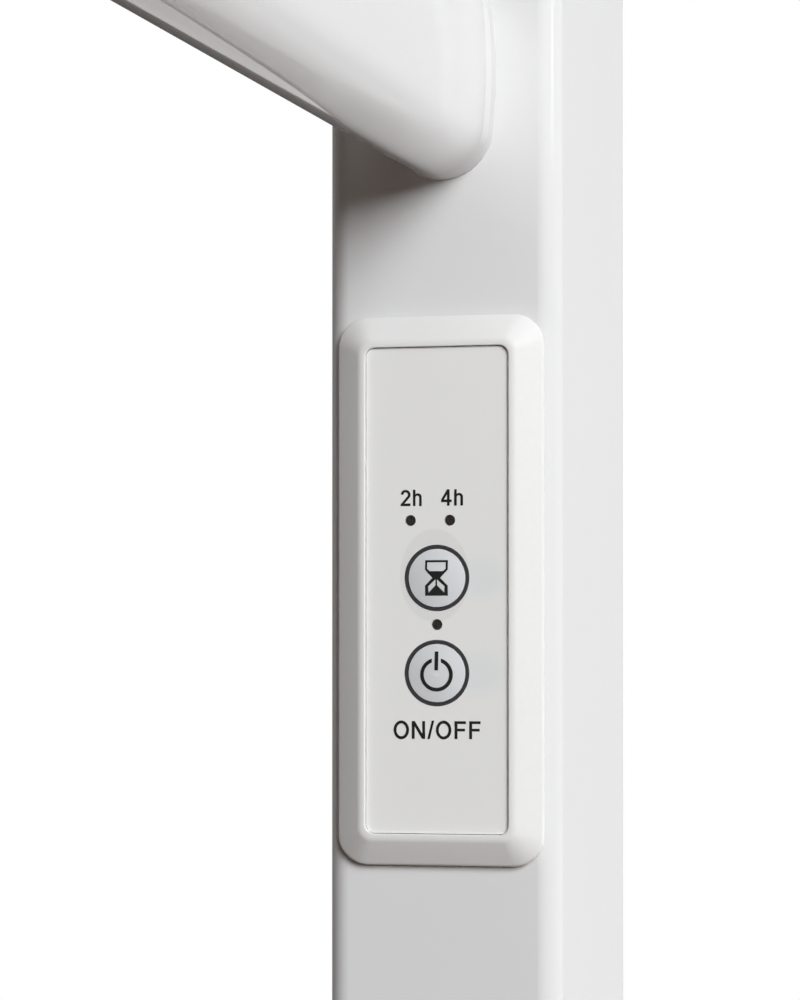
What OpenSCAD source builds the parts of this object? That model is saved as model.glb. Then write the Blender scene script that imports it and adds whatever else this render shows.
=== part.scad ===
// Electric heated towel rail: two rectangular posts, five oval cross bars, a timer control set into
// the right post, and four telescopic wall brackets. Millimetres. The origin is the middle of
// the four wall screws, in the plane of the wall. X runs right, Z up, and the room is at -Y.

/* [Posts] */
// Width of each post, across the rail
post_w = 60; // [40:1:70]
// Depth of each post, from front to back
post_d = 39; // [38:1:60]
// Wall of the post tube
post_wall = 1.5; // [1:0.25:2.5]
// Outside corner radius of the post tube
post_r = 3.5; // [3:0.5:8]
// Width over both posts
rail_w = 520; // [400:10:800]
// Gap from the wall to the back of the posts
wall_gap = 45; // [42:1:60]

/* [Bars] */
// Width of the oval bar, from front to back
bar_w = 18; // [16:1:24]
// Height of the oval bar
bar_h = 34; // [30:1:44]
// How far the bar's sides bow out from flat
bar_bow = 0.5; // [0.3:0.1:1.5]
// Wall of the bar tube
bar_wall = 1.5; // [1:0.25:2]
// Distance from one bar to the next
bar_pitch = 145; // [120:5:180]
// Height of the lowest bar over the posts' lower end
bar_rise = 190; // [180:5:260]
// Distance from the highest bar to the posts' upper end
top_margin = 30; // [28:1:60]

/* [Welds] */
// How far a weld runs along the bar
weld_along = 8; // [2:0.5:10]
// How far a weld runs out over the post
weld_out = 0.4; // [0.3:0.1:2]

/* [Bezel] */
// Width of the control's bezel
bezel_w = 34.5; // [33:0.5:37]
// Height of the bezel
bezel_h = 90; // [86:1:110]
// Outside corner radius of the bezel
bezel_r = 5; // [4:0.5:7]
// Height of the bezel's upright edge
bezel_edge = 0.9; // [0.6:0.1:2]
// Width of the bezel's slope
slope_w = 4.3; // [3:0.05:4.5]
// Height of the bezel's slope
slope_h = 2.7; // [2:0.1:4]
// Width of the flat land between slope and window
land_w = 0.95; // [0.8:0.05:2]
// Corner radius of the bezel's window
window_r = 1.5; // [1:0.1:3]
// Distance from the lowest bar down to the bezel
panel_drop = 22.5; // [16:0.5:30]
// Thickness of the seal under the bezel
gasket_t = 0.5; // [0.3:0.1:1]

/* [Fascia and keys] */
// How far the fascia lies below the land
fascia_recess = 0.6; // [0.3:0.1:1]
// Thickness of the fascia
fascia_t = 1.6; // [1.2:0.1:2]
// Gap between fascia and window
groove = 0.1; // [0.05:0.05:0.5]
// Radius of a key
key_r = 4.75; // [4:0.25:6]
// Rise of a key's dome
key_dome = 0.5; // [0.2:0.1:1]
// Height of the timer key over the panel's middle
timer_v = 2; // [0:0.5:6]
// Distance between the two keys
key_pitch = 15.5; // [14:0.5:20]
// How far a key travels
key_travel = 0.5; // [0.2:0.1:0.8]
// Radius of a lamp hole
lamp_r = 0.9; // [0.7:0.1:1.2]

/* [Control housing] */
// Depth of the bezel's skirt behind the face of the post
skirt_deep = 6; // [5:0.5:8]
// Wall of the skirt
skirt_t = 1.6; // [1.2:0.1:2]
// Depth of the whole housing behind the face of the post
housing_deep = 24; // [23:0.5:26]
// Wall of the housing
housing_wall = 1.4; // [1:0.1:2]
// Thickness of the circuit board
board_t = 1.6; // [1:0.2:2]

/* [Heating cable] */
// Radius of the heating cable
cable_r = 1.75; // [1.5:0.25:2.5]
// Radius of the cable's bends
cable_bend = 12; // [10:1:14]

/* [Wall brackets] */
// Outside radius of a wall socket
socket_r = 13; // [12.5:0.5:16]
// Length of a wall socket
socket_len = 26; // [24:1:32]
// Thickness of a wall socket's base
socket_base = 4; // [3:0.5:5]
// Radius of a bracket pin
pin_r = 8.95; // [8:0.05:9.5]
// Radius of a wall screw's hole
wall_hole_r = 2.75; // [2.25:0.25:3.25]
// How far the rail can be set in or out from its middle place
depth_travel = 5; // [2:1:6]

/* [Hidden] */
$fn = 96;

// Clearances
slide_fit = 0.05;
seat_fit = 0.15;
push_fit = 0.3;

// Where the tubes stand
bar_count = 5;
mid_bar = (bar_count + 1) / 2;
post_x = rail_w / 2 - post_w / 2;
post_y = -wall_gap - post_d / 2;
face_x = post_x - post_w / 2;
cavity_x = face_x + post_wall;
function bar_z(i) = (i - mid_bar) * bar_pitch;
post_low = bar_z(1) - bar_rise;
post_high = bar_z(bar_count) + top_margin;

// The oval's four arcs: two of end_r above and below, two of side_r at the sides
function end_r(w, bow) = w / 2 - bow;
function end_c(w, h, bow) = h / 2 - end_r(w, bow);
function side_r(w, h, bow) =
    (w * w / 4 + pow(end_c(w, h, bow), 2) - pow(end_r(w, bow), 2)) / (2 * bow);
function side_turn(w, h, bow) = atan2(end_c(w, h, bow), side_r(w, h, bow) - w / 2);

// Control, in its own frame: x to the front of the rail, y up, z out of the post's inner face
panel_z = bar_z(1) - bar_h / 2 - panel_drop - bezel_h / 2;
edge_top = gasket_t + bezel_edge;
land_z = edge_top + slope_h;
window_w = bezel_w - 2 * (slope_w + land_w);
window_h = bezel_h - 2 * (slope_w + land_w);
fascia_z = land_z - fascia_recess;
ledge_z = fascia_z - fascia_t;
ledge_w = 1.5;
ledge_t = 1.3;
flange_w = 3.8;
skirt_w = bezel_w - 2 * flange_w;
skirt_h = bezel_h - 2 * flange_w;
skirt_r = 2;
skirt_in_r = 0.8;
hook_w = 8;
hook_out = 1.2;
hook_slot = 1;
snap_w = 6;
snap_v = 20;
snap_out = 0.9;
snap_z = -3;
snap_h = 1.4;

// Keys, lamps and board
power_v = timer_v - key_pitch;
lamps = [[-4.45, timer_v + 9.4], [2.15, timer_v + 9.4], [0, timer_v - 7.6]];
collar_r = key_r + 0.75;
collar_t = 0.8;
stem_r = 1.5;
board_z = -skirt_deep;
switch_w = 6;
switch_h = 3.5;
plunger_r = 1.75;
plunger_out = 1;
plunger_foot = 1;
led_h = 1.8;
pipe_collar = 0.5;
pipe_sunk = 0.3;
lip_t = 1.2;
lip_front = -2.5;
lip_w = skirt_w - 2 * skirt_t - 2 * slide_fit - 0.1;
lip_h = skirt_h - 2 * skirt_t - 2 * slide_fit - 0.1;
tray_w = skirt_w - 1;
tray_h = skirt_h - 1.4;
shoulder = board_t + 0.4;
board_w = lip_w - 2 * lip_t - 2 * push_fit;
board_h = lip_h - 2 * lip_t - 2 * push_fit;
back_z = board_z - board_t;
floor_z = -housing_deep + housing_wall;
screw_u = board_w / 2 - 2.3;
screw_v = board_h / 2 - 2.3;
mast_r = 2;
pilot_r = 0.9;

// Terminal block: four ways, the middle two for the heating cable
way_pitch = 5;
way_z = back_z - 6.4;
block_len = 10;
block_h = 10.6;
block_low = -screw_v + 3.2;
way_r = 1.4;
lead_r = 1.1;
lead_bend = 8;
lead_z = way_z - 2 * lead_bend;
lead_drop = 5.5;
joint_w = 10;
joint_t = 7;
joint_len = 24;
joint_low = block_low + 2;

// Heating cable: its height in each bar, and where its upright runs stand
function lane_z(i) = bar_z(i) - bar_h / 2 + bar_wall + cable_r + slide_fit;
riser_x = face_x - lead_z;
seal_r = cable_r + 0.9;
seal_len = 20;
seal_x = cavity_x + 2;

// End caps and cable entry
cap_t = 3;
cap_round = 1.5;
cap_deep = 14;
cap_wall = 1.8;
entry_r = 6.2;
grommet_bore = 3.6;

// Wall brackets, in distances from the wall
bracket_z = 1.5 * bar_pitch;
nut_flange = 0.8;
nut_flange_r = 8;
nut_r = 5.5;
nut_len = 16;
bolt_r = 4;
bolt_head_r = 6.5;
bolt_head_h = 8;
bolt_reach = 14;
pin_seat = wall_gap - nut_flange;
pin_end = socket_base + depth_travel + 0.5;
pin_web = 9;
socket_bore = pin_r + slide_fit;
grub_r = 2.5;
grub_at = socket_len - 6;

// Colours
coat = "#e9eaea";
abs_white = "#eeeeec";
film_grey = "#d4d4d2";
key_grey = "#c9cfd3";
steel = "#b9bcc0";
brass = "#c9a85a";
dark = "#2b2c2e";

function unit(v) = v / norm(v);

// The points that round corner b of the outline a-b-c
function corner(a, b, c, r, steps) =
    let (u = unit(a - b), v = unit(c - b), half = acos(u * v) / 2)
    let (m = b + unit(u + v) * r / sin(half), p = b + u * r / tan(half))
    let (start = atan2(p.y - m.y, p.x - m.x), turn = 180 - 2 * half)
    let (way = cross(b - a, c - b) > 0 ? 1 : -1)
    [for (k = [0:steps]) m + r * [cos(start + way * turn * k / steps),
                                  sin(start + way * turn * k / steps)]];

// An outline whose points are [x, y, radius]
function rounded(pts, steps = 5) =
    let (n = len(pts))
    [for (i = [0:n - 1])
        let (a = pts[(i + n - 1) % n], b = pts[i], c = pts[(i + 1) % n])
        each b[2] > 0
            ? corner([a.x, a.y], [b.x, b.y], [c.x, c.y], b[2], steps)
            : [[b.x, b.y]]];

module rounded_rect(w, h, r) {
    square([w, h - 2 * r], center = true);
    square([w - 2 * r, h], center = true);
    for (x = [-1, 1], y = [-1, 1])
        translate([x * (w / 2 - r), y * (h / 2 - r)]) circle(r);
}

// A plate with round corners, from low to high
module plate(w, h, r, low, high) {
    translate([0, 0, low]) linear_extrude(high - low) rounded_rect(w, h, r);
}

// Runs the child profile round a rectangle with round corners of radius r. The profile's x is
// the distance from the corner's own axis, and its y is the height.
module run_round(w, h, r) {
    for (s = [0, 180]) rotate([0, 0, s]) {
        translate([w / 2 - r, h / 2 - r, 0]) rotate([90, 0, 0])
            linear_extrude(h - 2 * r) children();
        translate([w / 2 - r, h / 2 - r, 0]) rotate_extrude(angle = 90) children();
        rotate([0, 0, 90]) {
            translate([h / 2 - r, w / 2 - r, 0]) rotate([90, 0, 0])
                linear_extrude(w - 2 * r) children();
            translate([h / 2 - r, w / 2 - r, 0]) rotate_extrude(angle = 90) children();
        }
    }
}

// The bar's section: four arcs that meet smoothly, x across and y up. The side arcs sit a hair
// inside the end arcs, so that each pair crosses cleanly where it meets.
module oval(w, h, bow) {
    er = end_r(w, bow);
    ec = end_c(w, h, bow);
    sr = side_r(w, h, bow);
    tuck = 0.002;
    meet_y = ec * sr / (sr - er);
    intersection() {
        translate([w / 2 - sr - tuck, 0]) circle(sr, $fn = 1440);
        translate([sr - w / 2 + tuck, 0]) circle(sr, $fn = 1440);
        square([w, 2 * meet_y], center = true);
    }
    for (y = [-ec, ec]) translate([0, y]) circle(er);
}

module bar_oval(grow = 0) {
    oval(bar_w + 2 * grow, bar_h + 2 * grow, bar_bow);
}

// Puts children on the inner face of the right post: x to the room, y up, z away from the post
module on_inner_face(z) {
    translate([face_x, post_y, z]) rotate([90, 0, -90]) children();
}

module on_panel() {
    on_inner_face(panel_z) children();
}

module at_each_bracket() {
    for (x = [-1, 1], z = [-1, 1])
        translate([x * post_x, 0, z * bracket_z]) rotate([90, 0, 0]) children();
}

// A rod of radius r in the plane y = post_y, straight or bent a quarter turn
module rod(x, z, len, r, turn) {
    translate([x, post_y, z]) rotate([0, turn, 0]) cylinder(h = len, r = r);
}

module elbow(x, z, bend, r, start) {
    translate([x, post_y, z]) rotate([90, -start, 0])
        rotate_extrude(angle = 90) translate([bend, 0]) circle(r);
}

// Posts: rectangular steel tube, slotted for the bars and drilled behind for the brackets
module post_tube() {
    difference() {
        translate([post_x, post_y, post_low]) linear_extrude(post_high - post_low)
            difference() {
                rounded_rect(post_w, post_d, post_r);
                rounded_rect(post_w - 2 * post_wall, post_d - 2 * post_wall,
                             post_r - post_wall);
            }
        for (i = [1:bar_count])
            on_inner_face(bar_z(i)) translate([0, 0, -post_wall - 1])
                linear_extrude(post_wall + 2) bar_oval(seat_fit);
        for (z = [-1, 1])
            translate([post_x, -wall_gap + 1, z * bracket_z]) rotate([90, 0, 0])
                cylinder(h = post_wall + 2, r = nut_r + 0.1);
    }
}

module right_post() {
    color(coat) difference() {
        post_tube();
        on_panel() plate(skirt_w + 2 * push_fit, skirt_h + 2 * push_fit,
                         skirt_r + push_fit, -post_wall - 1, 1);
    }
}

module left_post() {
    color(coat) mirror([1, 0, 0]) post_tube();
}

// Bars: oval steel tube, let into the inner walls of both posts
module towel_bar(i) {
    color(coat) translate([-cavity_x, post_y, bar_z(i)]) rotate([90, 0, 90])
        linear_extrude(2 * cavity_x) difference() {
            bar_oval();
            bar_oval(-bar_wall);
        }
}

// Welds: a hollow fillet round each end of each bar, dressed and painted over. Its section,
// x out from the bar and y along it, is carried round the oval's arcs in short steps.
bead_gap = 0.1;
bead_steps = [3, 14];
bead_section = concat(
    [[bead_gap, 0]],
    [for (k = [0:3])
        let (t = k / 3)
        [bead_gap + 0.06 + weld_out * (1 - t) * (1 - t), weld_along * t * t]],
    [[bead_gap, weld_along]]);

// Centre, radius, first angle and turn of the oval's arcs, right side first
function oval_arcs(w, h, bow) =
    let (turn = side_turn(w, h, bow), sr = side_r(w, h, bow), ec = end_c(w, h, bow))
    [[[w / 2 - sr, 0], sr, -turn, 2 * turn],
     [[0, ec], end_r(w, bow), turn, 180 - 2 * turn],
     [[sr - w / 2, 0], sr, 180 - turn, 2 * turn],
     [[0, -ec], end_r(w, bow), 180 + turn, 180 - 2 * turn]];

module bead() {
    around = [for (k = [0:3])
        let (arc = oval_arcs(bar_w, bar_h, bar_bow)[k], steps = bead_steps[k % 2])
        for (i = [0:steps - 1])
            let (a = arc[2] + arc[3] * i / steps)
            [for (p = bead_section)
                [arc[0].x + (arc[1] + p.x) * cos(a), arc[0].y + (arc[1] + p.x) * sin(a), p.y]]];
    n = len(around);
    m = len(bead_section);
    faces = [for (i = [0:n - 1], j = [0:m - 1])
        let (a = i * m + j, b = i * m + (j + 1) % m)
        let (c = (i + 1) % n * m + (j + 1) % m, d = (i + 1) % n * m + j)
        each [[a, b, c], [a, c, d]]];
    polyhedron([for (ring = around) each ring], faces);
}

module weld_beads() {
    color(coat) for (i = [1:bar_count], side = [0, 1])
        mirror([side, 0, 0]) on_inner_face(bar_z(i)) bead();
}

// End caps: moulded lids pushed into the ends of the posts
module cap() {
    lid = [[0, 0, 0], [post_r, 0, 0.3], [post_r, cap_t, cap_round], [0, cap_t, 0]];
    color(abs_white) {
        run_round(post_w, post_d, post_r) polygon(rounded(lid));
        translate([post_r - post_w / 2, post_r - post_d / 2, 0])
            cube([post_w - 2 * post_r, post_d - 2 * post_r, cap_t]);
        difference() {
            plug_w = post_w - 2 * post_wall - 2 * seat_fit;
            plug_d = post_d - 2 * post_wall - 2 * seat_fit;
            plug_r = post_r - post_wall - seat_fit;
            plate(plug_w, plug_d, plug_r, -cap_deep, 0.5);
            plate(plug_w - 2 * cap_wall, plug_d - 2 * cap_wall, 0.5, -cap_deep - 1, 0);
        }
    }
}

module top_cap_right() {
    translate([post_x, post_y, post_high]) cap();
}

module top_cap_left() {
    translate([-post_x, post_y, post_high]) cap();
}

module bottom_cap_left() {
    translate([-post_x, post_y, post_low]) rotate([180, 0, 0]) cap();
}

module bottom_cap_right() {
    translate([post_x, post_y, post_low]) rotate([180, 0, 0]) difference() {
        cap();
        translate([0, 0, -1]) cylinder(h = cap_t + 2, r = entry_r);
    }
}

// Cable entry: a rubber bush snapped into the right lower cap
module cable_grommet() {
    neck = entry_r - slide_fit;
    color(dark) translate([post_x, post_y, post_low]) rotate([180, 0, 0])
        rotate_extrude() polygon([
            [grommet_bore, 0], [grommet_bore + 1.2, -2], [neck + 0.6, -2], [neck + 1.4, -0.1],
            [neck, -0.1],
            [neck, cap_t + 0.05], [neck + 2.4, cap_t + 0.05], [neck + 2.4, cap_t + 1.4],
            [grommet_bore + 2.2, cap_t + 9], [grommet_bore, cap_t + 9],
        ]);
}

// Control bezel: a moulded frame with a sloping rim, a ledge for the fascia, and a skirt that
// passes through the post's wall and hooks behind it
module bezel_body() {
    land_round = min(1.6, 2.4 * (bezel_r - slope_w));
    rim = [[0, gasket_t, 0], [bezel_r, gasket_t, 0], [bezel_r, edge_top, 0.5],
           [bezel_r - slope_w, land_z, land_round], [0, land_z, 0]];
    run_round(bezel_w, bezel_h, bezel_r) polygon(rounded(rim));
    translate([bezel_r - bezel_w / 2, bezel_r - bezel_h / 2, gasket_t])
        cube([bezel_w - 2 * bezel_r, bezel_h - 2 * bezel_r, land_z - gasket_t]);
    plate(skirt_w, skirt_h, skirt_r, -skirt_deep, gasket_t + 0.2);
}

module bezel_window() {
    round_over = 0.3;
    flare_r = window_r + round_over;
    flare = [[0, land_z - round_over], [window_r, land_z - round_over],
             for (k = [1:4]) [flare_r - round_over * cos(90 * k / 4),
                              land_z - round_over + round_over * sin(90 * k / 4)],
             [flare_r, land_z + 1], [0, land_z + 1]];
    run_round(window_w + 2 * round_over, window_h + 2 * round_over, flare_r) polygon(flare);
    plate(window_w, window_h, window_r, ledge_z, land_z + 1);
    plate(window_w - 2 * ledge_w, window_h - 2 * ledge_w, 1, -skirt_deep - 1, land_z);
    plate(skirt_w - 2 * skirt_t, skirt_h - 2 * skirt_t, skirt_in_r, -skirt_deep - 1,
          ledge_z - ledge_t);
}

module bezel_hook() {
    catch_z = -post_wall - 0.1;
    translate([hook_w / 2, skirt_h / 2, 0]) rotate([90, 0, -90]) linear_extrude(hook_w)
        polygon([[0.3, catch_z], [0.3, -skirt_deep], [-0.2, -skirt_deep],
                 [-hook_out, catch_z - 0.9], [-hook_out, catch_z]]);
}

module panel_bezel() {
    color(abs_white) on_panel() {
        difference() {
            bezel_body();
            bezel_window();
            for (s = [-1, 1], e = [-1, 1])
                translate([s * (hook_w + hook_slot) / 2 - hook_slot / 2,
                           e * skirt_h / 2 - skirt_t - 1, -skirt_deep - 1])
                    cube([hook_slot, 2 * skirt_t + 2, skirt_deep + 0.5]);
            for (s = [-1, 1], v = [-1, 1])
                translate([s * skirt_w / 2, v * snap_v, snap_z - snap_h / 2])
                    cube([3 * skirt_t, snap_w + 2 * push_fit, snap_h + 2 * push_fit],
                         center = true);
        }
        for (s = [0, 180]) rotate([0, 0, s]) bezel_hook();
    }
}

// Seal: a thin rubber frame under the bezel's flange
module panel_gasket() {
    inset = 0.5;
    color(dark) on_panel() difference() {
        plate(bezel_w - 2 * inset, bezel_h - 2 * inset, bezel_r - inset, 0, gasket_t);
        plate(skirt_w + 2 * push_fit, skirt_h + 2 * push_fit, skirt_r + push_fit,
              -1, gasket_t + 1);
    }
}

// Fascia: the grey plate glued on the bezel's ledge, bored for two keys and three lamps
module panel_fascia() {
    color(film_grey) on_panel() difference() {
        plate(window_w - 2 * groove, window_h - 2 * groove, window_r - groove,
              ledge_z, fascia_z);
        for (v = [timer_v, power_v])
            translate([0, v, ledge_z - 1]) cylinder(h = fascia_t + 2, r = key_r + seat_fit);
        for (p = lamps)
            translate([p.x, p.y, ledge_z - 1]) cylinder(h = fascia_t + 2, r = lamp_r);
    }
}

// Keys: a domed cap with a collar that stops under the fascia, and a stem to its switch
module key(v) {
    dome_r = (key_r * key_r + key_dome * key_dome) / (2 * key_dome);
    collar_z = ledge_z - 0.2 - collar_t;
    tip_z = board_z + switch_h + plunger_out;
    color(key_grey) on_panel() translate([0, v, 0]) rotate_extrude() {
        intersection() {
            translate([0, collar_z]) square([key_r, fascia_z + key_dome - collar_z]);
            translate([0, fascia_z + key_dome - dome_r]) circle(dome_r, $fn = 720);
        }
        translate([0, collar_z]) square([collar_r, collar_t]);
        translate([0, tip_z]) square([stem_r, collar_z + 0.2 - tip_z]);
    }
}

module timer_button() {
    key(timer_v);
}

module power_button() {
    key(power_v);
}

// Switches: two press switches on the board, each with a plunger that the key's stem rests on
module plunger(v) {
    color(dark) on_panel() translate([0, v, board_z + switch_h - plunger_foot])
        cylinder(h = plunger_foot + plunger_out, r = plunger_r);
}

module timer_plunger() {
    plunger(timer_v);
}

module power_plunger() {
    plunger(power_v);
}

module tact_switches() {
    leg = [1.2, 0.8, 0.3];
    color(steel) on_panel() for (v = [timer_v, power_v]) translate([0, v, board_z]) {
        difference() {
            translate([-switch_w / 2, -switch_w / 2, 0]) cube([switch_w, switch_w, switch_h]);
            translate([0, 0, switch_h - plunger_foot - key_travel - 0.5])
                cylinder(h = switch_h, r = plunger_r + seat_fit);
        }
        for (x = [-1, 1], y = [-1, 1])
            translate([x * (switch_w / 2 + leg.x / 2 - 0.1), y * 2.2, leg.z / 2])
                cube(leg, center = true);
    }
}

// Lamps: smoked light pipes hung by their collars under the fascia, over chip lamps
module light_pipes() {
    color(dark) on_panel() for (p = lamps) translate([p.x, p.y, 0]) {
        low = board_z + led_h + 0.2;
        translate([0, 0, low]) cylinder(h = fascia_z - pipe_sunk - low, r = lamp_r - slide_fit);
        translate([0, 0, ledge_z - 0.8]) cylinder(h = 0.8, r = lamp_r + pipe_collar);
    }
}

module indicator_leds() {
    color("#f3f1e6") on_panel() for (p = lamps)
        translate([p.x - 1, p.y - 0.8, board_z]) cube([2, 1.6, led_h]);
}

// Board: lies in the shoulder of the housing, screwed to four masts
module circuit_board() {
    color("#2f6b45") on_panel() difference() {
        plate(board_w, board_h, 1, back_z, board_z);
        for (x = [-1, 1], y = [-1, 1])
            translate([x * screw_u, y * screw_v, back_z - 1])
                cylinder(h = board_t + 2, r = pilot_r + 0.3);
    }
}

module board_screws() {
    head_r = 1.7;
    head_h = 1.2;
    color(steel) on_panel() for (x = [-1, 1], y = [-1, 1])
        translate([x * screw_u, y * screw_v, 0]) difference() {
            union() {
                translate([0, 0, board_z]) cylinder(h = head_h, r = head_r);
                translate([0, 0, back_z - 6])
                    cylinder(h = board_t + 6.1, r = pilot_r - slide_fit);
            }
            for (a = [0, 90]) translate([0, 0, board_z + head_h]) rotate([0, 0, a])
                cube([2, 0.4, 1.2], center = true);
        }
}

// Parts on the back of the board
module on_board_back(x, y) {
    on_panel() translate([x, y, back_z]) mirror([0, 0, 1]) children();
}

module relay() {
    color("#31475e") on_board_back(0, 20) {
        plate(15.5, 19, 0.8, 0, 11.5);
        plate(14.7, 18.2, 0.8, 11, 12.2);
    }
}

module film_capacitor() {
    color("#c8b23a") on_board_back(5, -4) {
        plate(7, 17, 0.6, 0.4, 12);
        for (y = [-7.5, 7.5]) translate([0, y, 0]) cylinder(h = 1, r = 0.4);
    }
}

module smoothing_capacitor() {
    can_r = 4;
    groove_r = 0.4;
    color("#26303f") on_board_back(-5, -8) difference() {
        cylinder(h = 12, r = can_r);
        translate([0, 0, 1.6]) rotate_extrude() translate([can_r + 0.1, 0]) circle(groove_r);
    }
}

module controller_chip() {
    body = [5, 9, 1.5];
    color(dark) on_panel() translate([5.5, power_v - 10, board_z]) {
        translate([-body.x / 2, -body.y / 2, 0.1]) cube(body);
        for (x = [-1, 1], k = [0:5])
            translate([x * (body.x / 2 + 0.4), -3.5 + k * 1.4, 0.3])
                cube([1, 0.4, 0.6], center = true);
    }
}

module fuse() {
    tube_r = 1.8;
    color(steel) on_board_back(-5.5, 3.5) translate([0, 0, tube_r + 0.05])
        rotate([-90, 0, 0]) {
            cylinder(h = 4, r = tube_r - 0.1);
            for (y = [-1.8, 3.8]) translate([0, 0, y]) cylinder(h = 2, r = tube_r);
        }
}

module terminal_block() {
    cheek = 0.5;
    color("#3b7a57") on_board_back(0, block_low) difference() {
        translate([-2 * way_pitch - cheek / 2, 0, 0])
            cube([4 * way_pitch + cheek, block_len, block_h]);
        for (k = [-1.5:1:1.5]) translate([k * way_pitch, 0, 0]) {
            translate([0, -1, back_z - way_z]) rotate([-90, 0, 0])
                cylinder(h = 8, r = way_r);
            translate([0, 4, block_h - 3]) cylinder(h = 4, r = 1.9);
        }
    }
}

module terminal_screws() {
    color(steel) on_board_back(0, block_low + 4)
        for (k = [-1.5:1:1.5]) translate([k * way_pitch, 0, block_h - 3]) difference() {
            cylinder(h = 2.2, r = 1.85);
            translate([0, 0, 2.2]) cube([5, 0.6, 1.2], center = true);
        }
}

// Housing: the tray behind the bezel, its lip snapped into the skirt, open below for the wires
module control_housing() {
    notch_w = 19;
    color("#f4f4f2") on_panel() {
        difference() {
            union() {
                plate(tray_w, tray_h, skirt_r, -housing_deep, -skirt_deep);
                plate(lip_w, lip_h, 0.8, -skirt_deep - 1, lip_front);
            }
            plate(tray_w - 2 * housing_wall, tray_h - 2 * housing_wall, 1,
                  floor_z, -skirt_deep - shoulder);
            plate(lip_w - 2 * lip_t, lip_h - 2 * lip_t, 0.6,
                  -skirt_deep - shoulder - 1, lip_front + 1);
            translate([-notch_w / 2, -tray_h / 2 - 1, way_z - 3.5])
                cube([notch_w, housing_wall + 2, 7]);
        }
        for (x = [-1, 1], y = [-1, 1])
            translate([x * screw_u, y * screw_v, 0]) difference() {
                translate([0, 0, floor_z - 0.2])
                    cylinder(h = back_z - floor_z + 0.2, r = mast_r);
                translate([0, 0, back_z - 8]) cylinder(h = 9, r = pilot_r);
            }
        for (s = [0, 180], v = [-snap_v, snap_v]) rotate([0, 0, s])
            translate([lip_w / 2 - 0.1, v + snap_w / 2, snap_z]) rotate([90, 0, 0])
                linear_extrude(snap_w)
                    polygon([[0, -snap_h], [snap_out, -snap_h], [snap_out, -snap_h + 0.4],
                             [0.1, 0], [0, 0]]);
    }
}

// Wiring: two leads turn up behind the housing into a moulded joint
module cold_leads() {
    inset = 5;
    low = block_low - lead_drop;
    color(dark) on_panel() for (k = [-0.5, 0.5]) translate([k * way_pitch, 0, 0]) {
        translate([0, low, way_z]) rotate([-90, 0, 0])
            cylinder(h = block_low + inset - low, r = lead_r);
        translate([0, low, (way_z + lead_z) / 2]) rotate([0, 90, 0]) rotate([0, 0, 180])
            rotate_extrude(angle = 180) translate([lead_bend, 0]) circle(lead_r);
        translate([0, low, lead_z]) rotate([-90, 0, 0])
            cylinder(h = joint_low - low, r = lead_r);
    }
}

module cable_joint() {
    color(dark) on_panel() translate([0, joint_low, lead_z]) rotate([-90, 0, 0])
        linear_extrude(joint_len) rounded_rect(joint_w, joint_t, 2);
}

// Heating cable: up from the joint, then to and fro along the floors of the bars
module heating_cable() {
    run_x = post_x - cable_bend;
    riser_low = panel_z + joint_low + joint_len;
    color("#b5462f") {
        rod(riser_x, riser_low, lane_z(1) - cable_bend - riser_low, cable_r, 0);
        elbow(riser_x - cable_bend, lane_z(1) - cable_bend, cable_bend, cable_r, 0);
        rod(run_x, lane_z(1), riser_x - cable_bend - run_x, cable_r, 90);
        for (i = [1:bar_count - 1]) {
            side = i % 2 == 1 ? -1 : 1;
            rod(-run_x, lane_z(i), 2 * run_x, cable_r, 90);
            elbow(side * run_x, lane_z(i) + cable_bend, cable_bend, cable_r,
                  side > 0 ? -90 : 180);
            rod(side * post_x, lane_z(i) + cable_bend, bar_pitch - 2 * cable_bend, cable_r, 0);
            elbow(side * run_x, lane_z(i + 1) - cable_bend, cable_bend, cable_r,
                  side > 0 ? 0 : 90);
        }
        rod(-seal_x - seal_len + 3, lane_z(bar_count), run_x + seal_x + seal_len - 3,
            cable_r, 90);
    }
}

module end_seal() {
    color(dark) difference() {
        rod(-seal_x - seal_len, lane_z(bar_count), seal_len, seal_r, 90);
        rod(-seal_x - seal_len + 2.9, lane_z(bar_count), seal_len, cable_r + slide_fit, 90);
    }
}

// Earth point: a stud welded to the inside of the right post's back, with its nut
stud_z = post_low + 34;
stud_r = 2;
module earth_stud() {
    color(brass) translate([post_x, -wall_gap - post_wall, stud_z]) rotate([90, 0, 0]) {
        cylinder(h = 0.8, r = stud_r + 1);
        cylinder(h = 12, r = stud_r);
    }
}

module earth_nut() {
    color(brass) translate([post_x, -wall_gap - post_wall - 3, stud_z]) rotate([90, 0, 0])
        difference() {
            cylinder(h = 3.2, r = 4.04, $fn = 6);
            translate([0, 0, -1]) cylinder(h = 6, r = stud_r + slide_fit);
        }
}

// Wall brackets, z from the wall: nut in the post, screw, pin, and the socket on the wall
module rivet_nuts() {
    color(steel) at_each_bracket() rotate_extrude() polygon([
        [bolt_r + slide_fit, pin_seat], [nut_flange_r, pin_seat], [nut_flange_r, wall_gap],
        [nut_r, wall_gap], [nut_r, wall_gap + post_wall + 0.1],
        [nut_r + 1.5, wall_gap + post_wall + 0.9], [nut_r + 1.5, wall_gap + post_wall + 2],
        [nut_r, wall_gap + post_wall + 3.4], [nut_r, wall_gap + nut_len],
        [bolt_r + slide_fit, wall_gap + nut_len],
    ]);
}

module bracket_screws() {
    head_z = pin_seat - pin_web;
    color(steel) at_each_bracket() difference() {
        union() {
            translate([0, 0, head_z - bolt_head_h])
                cylinder(h = bolt_head_h, r = bolt_head_r);
            translate([0, 0, head_z - 0.1])
                cylinder(h = pin_web + bolt_reach + 0.1, r = bolt_r);
        }
        translate([0, 0, head_z - bolt_head_h - 1]) cylinder(h = 5, r = 3.46, $fn = 6);
    }
}

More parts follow.
